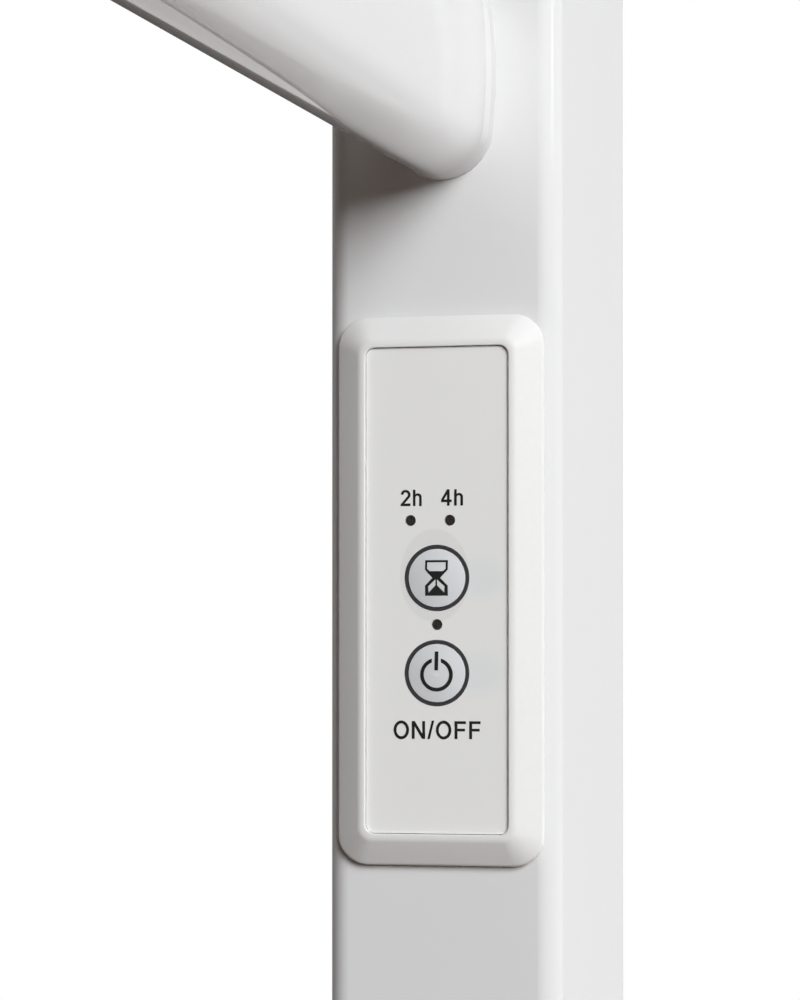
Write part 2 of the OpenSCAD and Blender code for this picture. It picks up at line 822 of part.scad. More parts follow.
module bracket_pins() {
    chamfer = 0.6;
    well_r = bolt_head_r + 0.5;
    color(steel) at_each_bracket() rotate_extrude() polygon([
        [well_r, pin_end], [pin_r - chamfer, pin_end], [pin_r, pin_end + chamfer],
        [pin_r, pin_seat], [bolt_r + 0.2, pin_seat], [bolt_r + 0.2, pin_seat - pin_web],
        [well_r, pin_seat - pin_web],
    ]);
}

module wall_sockets() {
    chamfer = 0.8;
    sink = 2.2;
    color(coat) at_each_bracket() difference() {
        rotate_extrude() polygon([
            [wall_hole_r, 0], [socket_r, 0], [socket_r, socket_len - chamfer],
            [socket_r - chamfer, socket_len], [socket_bore, socket_len],
            [socket_bore, socket_base], [wall_hole_r + sink, socket_base],
            [wall_hole_r, socket_base - sink],
        ]);
        translate([0, 0, grub_at]) rotate([90, 0, 0]) cylinder(h = socket_r + 1, r = grub_r);
    }
}

module grub_screws() {
    tip = socket_bore + slide_fit;
    color(steel) at_each_bracket() translate([0, 0, grub_at]) rotate([90, 0, 0])
        difference() {
            translate([0, 0, tip]) cylinder(h = socket_r - 0.2 - tip, r = grub_r - slide_fit);
            translate([0, 0, socket_r - 1.8]) cylinder(h = 3, r = 1.44, $fn = 6);
        }
}

right_post();
left_post();
towel_bar(1);  // towel_bar_1
towel_bar(2);  // towel_bar_2
towel_bar(3);  // towel_bar_3
towel_bar(4);  // towel_bar_4
towel_bar(5);  // towel_bar_5
weld_beads();
top_cap_right();
top_cap_left();
bottom_cap_right();
bottom_cap_left();
cable_grommet();
panel_gasket();
panel_bezel();
panel_fascia();
timer_button();
power_button();
timer_plunger();
power_plunger();
tact_switches();
light_pipes();
indicator_leds();
circuit_board();
board_screws();
relay();
film_capacitor();
smoothing_capacitor();
controller_chip();
fuse();
terminal_block();
terminal_screws();
control_housing();
cold_leads();
cable_joint();
heating_cable();
end_seal();
earth_stud();
earth_nut();
rivet_nuts();
bracket_screws();
bracket_pins();
wall_sockets();
grub_screws();
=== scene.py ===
import math

import bmesh
import bpy
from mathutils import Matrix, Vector
from mathutils.bvhtree import BVHTree


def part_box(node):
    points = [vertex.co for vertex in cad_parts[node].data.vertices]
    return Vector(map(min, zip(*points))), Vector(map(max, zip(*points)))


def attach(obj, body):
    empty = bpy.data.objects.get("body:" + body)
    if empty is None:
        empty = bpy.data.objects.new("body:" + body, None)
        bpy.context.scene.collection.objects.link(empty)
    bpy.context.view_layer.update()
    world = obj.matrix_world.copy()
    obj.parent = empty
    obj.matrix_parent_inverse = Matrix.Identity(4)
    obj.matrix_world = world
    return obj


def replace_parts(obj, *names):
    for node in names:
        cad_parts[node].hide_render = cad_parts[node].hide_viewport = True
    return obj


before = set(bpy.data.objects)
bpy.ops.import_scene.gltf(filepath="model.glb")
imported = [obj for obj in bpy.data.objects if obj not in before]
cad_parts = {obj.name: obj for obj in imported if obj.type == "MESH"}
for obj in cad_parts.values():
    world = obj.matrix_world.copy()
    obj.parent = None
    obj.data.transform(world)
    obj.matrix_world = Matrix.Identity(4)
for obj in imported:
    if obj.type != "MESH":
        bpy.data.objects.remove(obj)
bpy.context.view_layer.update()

scene = bpy.context.scene
MM = 0.001

# Camera: stands at the rail's left front, level with the control, and looks at the inner face
# of the right post from a little in front of it. The lens is long, so uprights stay upright.
LONG_SIDE = 1000
focal_px = 3432
heading = math.radians(14.3)
rise = math.radians(0.51)
camera = bpy.data.objects.new("camera", bpy.data.cameras.new("camera"))
scene.collection.objects.link(camera)
scene.camera = camera
camera.location = (-0.3469, -0.1968, -0.3856)
aim = Vector((math.cos(heading), math.sin(heading), math.tan(rise)))
camera.rotation_euler = aim.to_track_quat("-Z", "Y").to_euler()
camera.data.sensor_width = 36
camera.data.lens = camera.data.sensor_width * focal_px / LONG_SIDE
camera.data.shift_y = 0.1278
camera.data.clip_start = 0.01


# Posts: rectangular mild steel tube, welded to the bars and powder coated in one go. The coat
# flows in the oven, which leaves a clear gloss over a faint orange peel, and the drawn tube
# under it waves a little, so that reflections on it bend.
def linear(hex_colour):
    """The linear colour of an sRGB hex colour."""
    parts = [int(hex_colour[i:i + 2], 16) / 255 for i in (1, 3, 5)]
    return [p / 12.92 if p <= 0.04045 else ((p + 0.055) / 1.055) ** 2.4 for p in parts] + [1]


def add_node(material, kind, inputs=None, **settings):
    """Adds a node to a material or world. An input is given a value or another node's output."""
    tree = material.node_tree
    made = tree.nodes.new("ShaderNode" + kind)
    for key, value in settings.items():
        setattr(made, key, value)
    for key, value in (inputs or {}).items():
        if isinstance(value, bpy.types.NodeSocket):
            tree.links.new(value, made.inputs[key])
        else:
            made.inputs[key].default_value = value
    return made


def new_material(name):
    """An empty material, and the place of each point on the object, in metres."""
    material = bpy.data.materials.new(name)
    material.use_nodes = True
    material.node_tree.nodes.clear()
    return material, add_node(material, "TexCoord").outputs["Object"]


def finish_with(material, shader):
    add_node(material, "OutputMaterial", {"Surface": shader.outputs[0]})


def dress(material, *names):
    """Gives a material to CAD nodes."""
    for name in names:
        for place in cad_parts[name].material_slots:
            place.material = material


coat_white = "#e5e5e5"
coat_shade = "#e2e2e2"
flow_width = 45
wave_width = 14
wave_depth = 0.01
peel_width = 2.2
peel_depth = 0.0025

powder_coat, where = new_material("powder_coated_mild_steel")
flow = add_node(powder_coat, "TexNoise", {
    "Vector": where, "Scale": 1 / (flow_width * MM), "Detail": 1})
coat_tint = add_node(powder_coat, "Mix", {
    "Factor": flow.outputs["Fac"], "A": linear(coat_white), "B": linear(coat_shade)},
    data_type="RGBA")
wave = add_node(powder_coat, "TexNoise", {
    "Vector": where, "Scale": 1 / (wave_width * MM), "Detail": 0})
bent = add_node(powder_coat, "Bump", {
    "Height": wave.outputs["Fac"], "Distance": wave_depth * MM, "Strength": 1})
peel = add_node(powder_coat, "TexNoise", {
    "Vector": where, "Scale": 1 / (peel_width * MM), "Detail": 1, "Roughness": 0.35})
coat_skin = add_node(powder_coat, "Bump", {
    "Height": peel.outputs["Fac"], "Distance": peel_depth * MM, "Strength": 1,
    "Normal": bent.outputs["Normal"]})
finish_with(powder_coat, add_node(powder_coat, "BsdfPrincipled", {
    "Base Color": coat_tint.outputs["Result"], "Roughness": 0.07, "IOR": 1.5,
    "Normal": coat_skin.outputs["Normal"]}))
dress(powder_coat, "right_post", "left_post")


# Bars: oval mild steel tube with slightly bowed sides, let into both posts at either end and
# coated with them. The ends of the oval are arcs, and so are its sides, but far flatter.
def to_piece(name, shape, body, material, sharp=40):
    """Turns a bmesh into a piece that rides on a body."""
    bmesh.ops.recalc_face_normals(shape, faces=shape.faces)
    mesh = bpy.data.meshes.new(name)
    shape.to_mesh(mesh)
    shape.free()
    mesh.shade_smooth()
    mesh.set_sharp_from_angle(angle=math.radians(sharp))
    mesh.materials.append(material)
    piece = bpy.data.objects.new(name, mesh)
    scene.collection.objects.link(piece)
    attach(piece, body)
    return piece


def add_loft(shape, rings):
    """Adds a closed tube through rings of points, the last joined to the first."""
    made = [[shape.verts.new(point) for point in ring] for ring in rings]
    for near, far in zip(made, made[1:] + made[:1]):
        for i in range(len(near)):
            j = (i + 1) % len(near)
            shape.faces.new((near[i], near[j], far[j], far[i]))


def arc(cx, cy, rx, ry, start, end, steps=24):
    """Points on an ellipse's arc, in degrees."""
    turns = [math.radians(start + (end - start) * k / steps) for k in range(steps + 1)]
    return [(cx + rx * math.cos(t), cy + ry * math.sin(t)) for t in turns]


bar_low, bar_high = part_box("towel_bar_1")
bar_half_w = (bar_high.y - bar_low.y) / 2 / MM
bar_half_h = (bar_high.z - bar_low.z) / 2 / MM
bar_bow = 0.5
end_r = bar_half_w - bar_bow
end_c = bar_half_h - end_r
side_r = (bar_half_w ** 2 + end_c ** 2 - end_r ** 2) / (2 * bar_bow)
side_turn = math.degrees(math.atan2(end_c, side_r - bar_half_w))


def bar_outline(out):
    """The bar's oval section, grown by a distance, in millimetres."""
    side, end = side_r + out, end_r + out
    quarter = (arc(bar_half_w - side_r, 0, side, side, 0, side_turn, 12)[:-1]
               + arc(0, end_c, end, end, side_turn, 90, 20)[:-1])
    half = quarter + [(0, end_c + end)] + [(-x, y) for x, y in quarter[:0:-1]]
    return half + [(-x, -y) for x, y in half]


bar_wall = 1.5
for i in range(1, 6):
    low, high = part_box(f"towel_bar_{i}")
    middle = (low + high) / 2
    tube = bmesh.new()
    add_loft(tube, [[(x, middle.y - u * MM, middle.z + v * MM) for u, v in bar_outline(out)]
                    for x, out in ((low.x, 0), (high.x, 0), (high.x, -bar_wall),
                                   (low.x, -bar_wall))])
    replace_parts(to_piece(f"bar_{i}", tube, "rail", powder_coat),
                f"towel_bar_{i}")

# Welds: each bar is welded to the posts along its two straight sides, dressed with a file and
# painted over. A painted highlight lies in a strip along the weld: the coat is made whiter there,
# on the faces that turn to the front and back, and the strip runs out to nothing round the bar's
# ends. The strip is given in shares of the weld's own width.
weld_highlight_white = "#fafafa"
weld_out = 0.12
weld_feather = 0.005
weld_along = 8.4
weld_along_end = 5
weld_sunk = 0.04
weld_steps = 6
weld_grain = 3
highlight_middle, highlight_full, highlight_gone = 0.65, 0.24, 0.36
highlight_turn = 0.88

post_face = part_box("right_post")[0].x
weld_highlight_coat, where = new_material("powder_coated_weld_painted_highlight")
weld_flow = add_node(weld_highlight_coat, "TexNoise", {
    "Vector": where, "Scale": 1 / (weld_grain * MM), "Detail": 2})
weld_place = add_node(weld_highlight_coat, "SeparateXYZ", {"Vector": where})
weld_side = add_node(weld_highlight_coat, "Math", {0: weld_place.outputs["X"]}, operation="ABSOLUTE")
weld_past = add_node(weld_highlight_coat, "Math", {
    0: weld_side.outputs[0], 1: post_face - highlight_middle * weld_along * MM}, operation="SUBTRACT")
weld_off = add_node(weld_highlight_coat, "Math", {0: weld_past.outputs[0]}, operation="ABSOLUTE")
highlight_share = add_node(weld_highlight_coat, "MapRange", {
    "Value": weld_off.outputs[0], "From Min": highlight_full * weld_along * MM,
    "From Max": highlight_gone * weld_along * MM, "To Min": 1, "To Max": 0},
    interpolation_type="SMOOTHSTEP")
weld_turn = add_node(weld_highlight_coat, "SeparateXYZ", {
    "Vector": add_node(weld_highlight_coat, "TexCoord").outputs["Normal"]})
weld_turned = add_node(weld_highlight_coat, "Math", {0: weld_turn.outputs["Y"]}, operation="ABSOLUTE")
# Painted highlight: the weld is whiter only where its face turns nearly to the front or back.
highlight_mask = add_node(weld_highlight_coat, "MapRange", {
    "Value": weld_turned.outputs[0], "From Min": highlight_turn, "From Max": 1, "To Min": 0,
    "To Max": highlight_share.outputs["Result"]})
weld_highlight_tint = add_node(weld_highlight_coat, "Mix", {
    "Factor": highlight_mask.outputs["Result"], "A": linear(coat_white), "B": linear(weld_highlight_white)},
    data_type="RGBA")
weld_skin = add_node(weld_highlight_coat, "Bump", {
    "Height": weld_flow.outputs["Fac"], "Distance": 0.006 * MM, "Strength": 1})
finish_with(weld_highlight_coat, add_node(weld_highlight_coat, "BsdfPrincipled", {
    "Base Color": weld_highlight_tint.outputs["Result"], "Roughness": 0.1, "IOR": 1.5,
    "Normal": weld_skin.outputs["Normal"]}))

weld_section = [(-weld_sunk, 0), (weld_out, 0)] + [
    (weld_out * (1 - k / weld_steps) ** 2 - weld_feather * k / weld_steps, k / weld_steps)
    for k in range(1, weld_steps + 1)] + [(-weld_sunk, 1)]
welds = bmesh.new()
for i in range(1, 6):
    low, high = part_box(f"towel_bar_{i}")
    bar_y, bar_z = (low.y + high.y) / 2, (low.z + high.z) / 2
    for side in (1, -1):
        rings = []
        for out, share in weld_section:
            ring = []
            for x, z in bar_outline(out):
                straight = min(1, abs(x) / bar_half_w) ** 3
                along = weld_along_end + (weld_along - weld_along_end) * straight
                depth = share * along - weld_sunk * (share == 0)
                ring.append((side * (post_face - depth * MM), bar_y - x * MM, bar_z + z * MM))
            rings.append(ring)
        add_loft(welds, rings)
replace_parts(to_piece("painted_welds", welds, "rail", weld_highlight_coat), "weld_beads")


# End caps: injection moulded ABS lids pushed into the posts. Spark eroded moulds leave them a
# fine even grain, so they are less glossy than the coat.
def grained(name, light, dark, grain, depth, dull, **surface):
    """A solid material whose tone, gloss and skin wander over one grain width, in millimetres."""
    made, place = new_material(name)
    speckle = add_node(made, "TexNoise", {"Vector": place, "Scale": 1 / (grain * MM), "Detail": 2})
    tone = add_node(made, "Mix", {
        "Factor": speckle.outputs["Fac"], "A": linear(light), "B": linear(dark)},
        data_type="RGBA")
    gloss = add_node(made, "MapRange", {
        "Value": speckle.outputs["Fac"], "To Min": dull[0], "To Max": dull[1]})
    skin = add_node(made, "Bump", {
        "Height": speckle.outputs["Fac"], "Distance": depth * MM, "Strength": 1})
    finish_with(made, add_node(made, "BsdfPrincipled", {
        "Base Color": tone.outputs["Result"], "Roughness": gloss.outputs["Result"],
        "Normal": skin.outputs["Normal"], **surface}))
    return made


cap_abs = grained("moulded_abs", "#e9e9e7", "#e3e3e0", 0.35, 0.006, (0.36, 0.48), IOR=1.54)
dress(cap_abs, "top_cap_right", "top_cap_left", "bottom_cap_right", "bottom_cap_left")

# Cable bush, panel seal, cable joint and end seal: moulded EPDM rubber, black and matt, with a
# bloom that greys it in patches.
rubber = grained("moulded_epdm_rubber", "#26262a", "#37373b", 6, 0.004, (0.55, 0.8), IOR=1.52)
dress(rubber, "cable_grommet", "panel_gasket", "cable_joint", "end_seal")

# Heating cable: extruded silicone sheath, red-brown, dusted with talc so that it slides into
# the bars. It runs to and fro through all five.
silicone = grained("talced_silicone", "#a4482f", "#8d3c28", 1.6, 0.01, (0.45, 0.7), IOR=1.41)
dress(silicone, "heating_cable")

# Cold leads: black silicone insulation extruded over stranded copper. They join the terminals
# to the heating cable, and their skin is smooth and a little shiny.
lead_sheath = grained("extruded_silicone", "#2b2b2e", "#202023", 2, 0.003, (0.35, 0.5), IOR=1.41)
dress(lead_sheath, "cold_leads")

# Earth point: brass stud brazed into the post with a brass nut. Both are turned, so fine rings
# run round them, one for each pass of the tool.
ring_pitch = 0.25
tarnish_width = 3
brass, where = new_material("turned_brass")
rings = add_node(brass, "TexWave", {
    "Vector": where, "Scale": math.tau / (20 * ring_pitch * MM), "Distortion": 1.5, "Detail": 1},
    bands_direction="Y")
brass_tint = add_node(brass, "Mix", {
    "Factor": rings.outputs["Fac"], "A": linear("#d9b56b"), "B": linear("#c9a257")},
    data_type="RGBA")
tarnish = add_node(brass, "TexNoise", {
    "Vector": where, "Scale": 1 / (tarnish_width * MM), "Detail": 2})
brass_gloss = add_node(brass, "MapRange", {
    "Value": tarnish.outputs["Fac"], "To Min": 0.22, "To Max": 0.4})
brass_skin = add_node(brass, "Bump", {
    "Height": rings.outputs["Fac"], "Distance": 0.004 * MM, "Strength": 1})
finish_with(brass, add_node(brass, "BsdfPrincipled", {
    "Base Color": brass_tint.outputs["Result"], "Metallic": 1,
    "Roughness": brass_gloss.outputs["Result"], "Normal": brass_skin.outputs["Normal"]}))
dress(brass, "earth_stud", "earth_nut")

# Control housing: injection moulded ABS tray behind the bezel. It isn't seen in use, so the
# mould is left plain and the skin is satin.
housing_abs = grained("plain_moulded_abs", "#ecece9", "#e4e4e0", 0.8, 0.004, (0.4, 0.5), IOR=1.54)
dress(housing_abs, "control_housing")

# Circuit board: glass epoxy laminate under green solder mask. Copper tracks show through the
# mask as paler lines, and tinned pads as grey dots, on a 2.5 mm raster.
raster = 2.5
track_share = 0.18
pad_share = 0.16
swirl_width = 9
board, where = new_material("solder_masked_glass_epoxy")
apart = add_node(board, "SeparateXYZ", {"Vector": where})
swirl = add_node(board, "TexNoise", {
    "Vector": where, "Scale": 1 / (swirl_width * MM), "Detail": 0})
bend = add_node(board, "MapRange", {
    "Value": swirl.outputs["Fac"], "To Min": -raster * MM, "To Max": raster * MM})
bent_y = add_node(board, "Math", {
    0: apart.outputs["Y"], 1: bend.outputs["Result"]}, operation="ADD")
across = add_node(board, "Math", {0: bent_y.outputs[0], 1: raster * MM / 2}, operation="PINGPONG")
track = add_node(board, "Math", {
    0: across.outputs[0], 1: raster * MM / 2 * track_share}, operation="LESS_THAN")
masked = add_node(board, "Mix", {
    "Factor": track.outputs[0], "A": linear("#1f5a34"), "B": linear("#37794c")},
    data_type="RGBA")
pads = add_node(board, "TexVoronoi", {
    "Vector": where, "Scale": 1 / (raster * MM), "Randomness": 0.5})
pad = add_node(board, "Math", {
    0: pads.outputs["Distance"], 1: pad_share}, operation="LESS_THAN")
laid = add_node(board, "Mix", {
    "Factor": pad.outputs[0], "A": masked.outputs["Result"], "B": linear("#b4b6b4")},
    data_type="RGBA")
raised = add_node(board, "Bump", {
    "Height": track.outputs[0], "Distance": 0.03 * MM, "Strength": 1})
finish_with(board, add_node(board, "BsdfPrincipled", {
    "Base Color": laid.outputs["Result"], "Roughness": 0.32, "IOR": 1.55,
    "Normal": raised.outputs["Normal"]}))
dress(board, "circuit_board")

# Relay, film capacitor, smoothing capacitor and chip: each has its case moulded, dipped or
# shrunk on, in the colour that its trade gives it.
dress(grained("moulded_pbt", "#2c3c5a", "#25344f", 0.4, 0.006, (0.35, 0.5), IOR=1.57), "relay")
dress(grained("dipped_epoxy", "#d2ac3a", "#c59f30", 2.5, 0.02, (0.2, 0.35), IOR=1.55),
      "film_capacitor")
dress(grained("shrunk_pvc_sleeve", "#22262d", "#191c22", 1.2, 0.005, (0.25, 0.4), IOR=1.53),
      "smoothing_capacitor")
dress(grained("moulded_epoxy", "#2a2a2c", "#202022", 0.15, 0.008, (0.5, 0.65), IOR=1.55),
      "controller_chip")

# Terminal block: green moulded polyamide with a screw over each of its four ways. It is
# soldered to the board, and the mould leaves it satin.
dress(grained("moulded_polyamide", "#2f7a4b", "#296c42", 0.5, 0.008, (0.4, 0.55), IOR=1.53),
      "terminal_block")

# Screws, rivet nuts, switch covers and fuse caps: steel, zinc or tin plated in a barrel. The
# plating is bright with a faint warm and blue bloom, and rubs dull in patches.
bloom_width = 4
rub_width = 0.7
plated, where = new_material("barrel_plated_steel")
bloom = add_node(plated, "TexNoise", {
    "Vector": where, "Scale": 1 / (bloom_width * MM), "Detail": 2})
bloom_tint = add_node(plated, "Mix", {
    "Factor": bloom.outputs["Fac"], "A": linear("#c9cdd3"), "B": linear("#cfcabd")},
    data_type="RGBA")
rubbed = add_node(plated, "TexNoise", {
    "Vector": where, "Scale": 1 / (rub_width * MM), "Detail": 3})
plated_gloss = add_node(plated, "MapRange", {
    "Value": rubbed.outputs["Fac"], "To Min": 0.22, "To Max": 0.42})
plated_skin = add_node(plated, "Bump", {
    "Height": rubbed.outputs["Fac"], "Distance": 0.004 * MM, "Strength": 1})
finish_with(plated, add_node(plated, "BsdfPrincipled", {
    "Base Color": bloom_tint.outputs["Result"], "Metallic": 1,
    "Roughness": plated_gloss.outputs["Result"], "Normal": plated_skin.outputs["Normal"]}))
dress(plated, "board_screws", "terminal_screws", "tact_switches", "fuse", "rivet_nuts",
      "bracket_screws", "grub_screws")

# Switch plungers: black moulded nylon, one in each press switch. The keys' stems push on them
# and rub them to a satin.
nylon = grained("moulded_nylon", "#242426", "#1b1b1d", 0.3, 0.004, (0.35, 0.5), IOR=1.53)
dress(nylon, "timer_plunger", "power_plunger")

# Chip lamps: pale yellow phosphor resin, cast in a white case and soldered to the board under
# the light pipes. The resin is dull and slightly grainy.
resin = grained("phosphor_resin", "#ece4b4", "#e2d99f", 0.1, 0.006, (0.4, 0.55), IOR=1.5)
dress(resin, "indicator_leds")

# Light pipes: smoked acrylic, polished in the mould, dark until the lamp behind is lit. Flow
# in the mould leaves them slightly cloudy.
smoked = grained("smoked_acrylic", "#2e2926", "#1d1a19", 0.5, 0.004, (0.2, 0.4), IOR=1.49)
dress(smoked, "light_pipes")

# Bezel: injection moulded ABS, whiter than the coat, polished in the mould to a half gloss. It
# has a sloping rim round a narrow land, all edges broken, and a skirt with two hooks and four
# windows for the housing's catches.
bezel_low, bezel_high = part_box("panel_bezel")
panel_y = (bezel_low.y + bezel_high.y) / 2
panel_z = (bezel_low.z + bezel_high.z) / 2
half_w = (bezel_high.y - bezel_low.y) / 2 / MM
half_h = (bezel_high.z - bezel_low.z) / 2 / MM
land = (post_face - bezel_low.x) / MM
skirt_foot = (post_face - bezel_high.x) / MM
seal = 0.5
edge_top = seal + 0.9
slope_w = 4.3
window_in = slope_w + 0.95
ledge_top = land - 0.6 - 1.6
ledge_in = window_in + 1.5
ledge_foot = ledge_top - 1.3
skirt_out = 3.8
skirt_in = skirt_out + 1.6
corner_steps = 10
break_steps = 5


def panel_point(u, v, w):
    """A point on the control: u to the room, v up and w out of the post's face, in mm."""
    return (post_face - w * MM, panel_y - u * MM, panel_z + v * MM)


def rounded_ring(inset, w, r):
    """A rounded rectangle inside the bezel's outline, at a height over the post's face."""
    a, b = half_w - inset - r, half_h - inset - r
    ring = []
    for su, sv, start in ((1, 1, 0), (-1, 1, 90), (-1, -1, 180), (1, -1, 270)):
        ring += arc(su * a, sv * b, r, r, start, start + 90, corner_steps)
    return [panel_point(u, v, w) for u, v in ring]


def broken(profile):
    """Rounds a profile's corners. Each point is (inset, height, corner radius, edge break)."""
    points = []
    for k, (*here, reach) in enumerate(profile):
        if not reach:
            points.append(here)
            continue
        ends = []
        for other in (profile[k - 1][:3], profile[(k + 1) % len(profile)][:3]):
            share = reach / math.hypot(other[0] - here[0], other[1] - here[1])
            ends.append([p + (q - p) * share for p, q in zip(here, other)])
        for step in range(break_steps + 1):
            t = step / break_steps
            points.append([(1 - t) ** 2 * p + 2 * t * (1 - t) * m + t ** 2 * q
                           for p, m, q in zip(ends[0], here, ends[1])])
    return points


bezel_profile = [
    (0, seal, 5, 0.1),
    (0, edge_top, 5, 0.45),
    (slope_w, land, 2.1, 0.6),
    (window_in, land, 1.6, 0.2),
    (window_in, ledge_top, 1.5, 0),
    (ledge_in, ledge_top, 1, 0.15),
    (ledge_in, ledge_foot, 1, 0.15),
    (skirt_in, ledge_foot, 0.8, 0),
    (skirt_in, skirt_foot, 0.8, 0.2),
    (skirt_out, skirt_foot, 2, 0.2),
    (skirt_out, seal, 2, 0),
]
bezel_abs = grained("polished_moulded_abs", "#ebebea", "#e7e7e5", 0.9, 0.003, (0.28, 0.4),
                    IOR=1.54)
rim = bmesh.new()
add_loft(rim, [rounded_ring(*point) for point in broken(bezel_profile)])
bezel = to_piece("bezel", rim, "rail", bezel_abs, 50)
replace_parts(bezel, "panel_bezel")


def block(u, v, w):
    """A block between two u, two v and two w, given by its two ends."""
    return [[panel_point(a, b, c) for a, b in ((u[0], v[0]), (u[1], v[0]), (u[1], v[1]),
                                               (u[0], v[1]))] for c in w]


def cut(piece, operation, solids):
    """Cuts solids out of a piece, or joins them to it. Each solid is given by its two ends."""
    shape = bmesh.new()
    for ends in solids:
        near, far = ([shape.verts.new(point) for point in end] for end in ends)
        shape.faces.new(near)
        shape.faces.new(far)
        for i in range(len(near)):
            j = (i + 1) % len(near)
            shape.faces.new((near[i], near[j], far[j], far[i]))
    bmesh.ops.recalc_face_normals(shape, faces=shape.faces)
    tool_mesh = bpy.data.meshes.new(piece.name + "_tool")
    shape.to_mesh(tool_mesh)
    shape.free()
    tool = bpy.data.objects.new(piece.name + "_tool", tool_mesh)
    scene.collection.objects.link(tool)
    change = piece.modifiers.new("change", "BOOLEAN")
    change.operation, change.solver, change.object = operation, "EXACT", tool
    bpy.context.view_layer.update()
    made = bpy.data.meshes.new_from_object(
        piece.evaluated_get(bpy.context.evaluated_depsgraph_get()))
    piece.modifiers.remove(change)
    bpy.data.objects.remove(tool)
    piece.data = made


skirt_half_w, skirt_half_h = half_w - skirt_out, half_h - skirt_out
catch_v, catch_half_w = 20, 3.2
catch_w = (-4.5, -2.9)
catch_reach = 2.4
slot_u, slot_half_w = 4.5, 0.5
slot_v = (skirt_half_h - 3, skirt_half_h + 1)
slot_w = (skirt_foot - 1, -0.5)
hook_half_w = 3.98
cuts = []
for s in (1, -1):
    for t in (1, -1):
        cuts.append(block(sorted((s * (skirt_half_w - catch_reach),
                                  s * (skirt_half_w + catch_reach))),
                          (t * catch_v - catch_half_w, t * catch_v + catch_half_w), catch_w))
        cuts.append(block((s * slot_u - slot_half_w, s * slot_u + slot_half_w),
                          sorted(t * v for v in slot_v), slot_w))
cut(bezel, "DIFFERENCE", cuts)
hook_outline = [(-0.3, -1.6), (-0.3, skirt_foot + 0.02), (0.2, skirt_foot + 0.02), (1.2, -2.5),
                (1.2, -1.6)]
cut(bezel, "UNION", [
    [[panel_point(u, t * (skirt_half_h + v), w) for v, w in hook_outline]
     for u in (-hook_half_w, hook_half_w)]
    for t in (1, -1)])

# Fascia: moulded plate under a matt printed polyester film, light grey. The film is stretched
# over the timer key's seat, which shows as a faint oval, and a faint cool patch is painted beside
# each key. The walls of the key holes are inked.
timer_v = (sum(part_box("timer_button"), Vector()).z / 2 - panel_z) / MM
power_v = (sum(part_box("power_button"), Vector()).z / 2 - panel_z) / MM
film_grey = "#efefed"
film_shade = "#ebebe9"
ring_grey = "#343336"
seat_r = 4.93
tooth_width = 0.25


def inked_rim(material, place, colour, from_r, to_r):
    """Inks a colour between two radii round both keys, in millimetres."""
    flat = add_node(material, "VectorMath", {0: place, 1: (0, 1, 1)}, operation="MULTIPLY")
    ways = [add_node(material, "VectorMath", {
        0: flat.outputs["Vector"], 1: (0, panel_y, panel_z + v * MM)},
        operation="DISTANCE").outputs["Value"] for v in (timer_v, power_v)]
    way = add_node(material, "Math", {0: ways[0], 1: ways[1]}, operation="MINIMUM")
    off_middle = add_node(material, "Math", {
        0: way.outputs[0], 1: (from_r + to_r) / 2 * MM, 2: (to_r - from_r) / 2 * MM},
        operation="COMPARE")
    return add_node(material, "Mix", {
        "Factor": off_middle.outputs[0], "A": colour, "B": linear(ring_grey)},
        data_type="RGBA").outputs["Result"]


film, where = new_material("matt_printed_polyester")
tooth = add_node(film, "TexNoise", {
    "Vector": where, "Scale": 1 / (tooth_width * MM), "Detail": 2})
film_tint = add_node(film, "Mix", {
    "Factor": tooth.outputs["Fac"], "A": linear(film_grey), "B": linear(film_shade)},
    data_type="RGBA")
patches = [
    # colour, middle and half size in mm on the panel, share of the half size that fades, strength
    ("#e2e2e0", (-0.4, timer_v + 0.4), (5.8, 7.6), 0.04, 0.7),
    # A faint cool patch painted beside each key.
    ("#dfe4e6", (7.6, timer_v), (3.6, 3.2), 0.5, 0.5),
    ("#dfe4e6", (7.2, power_v), (3.6, 3.2), 0.5, 0.5),
]
film_colour = film_tint.outputs["Result"]
for colour, (u, v), (half_u, half_v), fade, strength in patches:
    beside = add_node(film, "VectorMath", {
        0: where, 1: (0, panel_y - u * MM, panel_z + v * MM)}, operation="SUBTRACT")
    scaled = add_node(film, "VectorMath", {
        0: beside.outputs["Vector"], 1: (0, 1 / (half_u * MM), 1 / (half_v * MM))},
        operation="MULTIPLY")
    reach = add_node(film, "VectorMath", {0: scaled.outputs["Vector"]}, operation="LENGTH")
    inside = add_node(film, "MapRange", {
        "Value": reach.outputs["Value"], "From Min": 1 + fade, "From Max": 1 - fade,
        "To Max": strength}, interpolation_type="SMOOTHSTEP")
    film_colour = add_node(film, "Mix", {
        "Factor": inside.outputs["Result"], "A": film_colour, "B": linear(colour)},
        data_type="RGBA").outputs["Result"]
film_skin = add_node(film, "Bump", {
    "Height": tooth.outputs["Fac"], "Distance": 0.003 * MM, "Strength": 1})
finish_with(film, add_node(film, "BsdfPrincipled", {
    "Base Color": inked_rim(film, where, film_colour, 0, seat_r + 0.02), "Roughness": 0.5,
    "IOR": 1.57, "Normal": film_skin.outputs["Normal"]}))
dress(film, "panel_fascia")

# Printing on the fascia: screen printed ink, a few hundredths of a millimetre thick, with the
# hours over their lamps and the mains switch named below its key. All shapes are drawn in
# millimetres on the panel, from its middle.
ink_t = 0.02
facet = 0.4


def shifted(outlines, dx, dy):
    return [[(x + dx, y + dy) for x, y in outline] for outline in outlines]


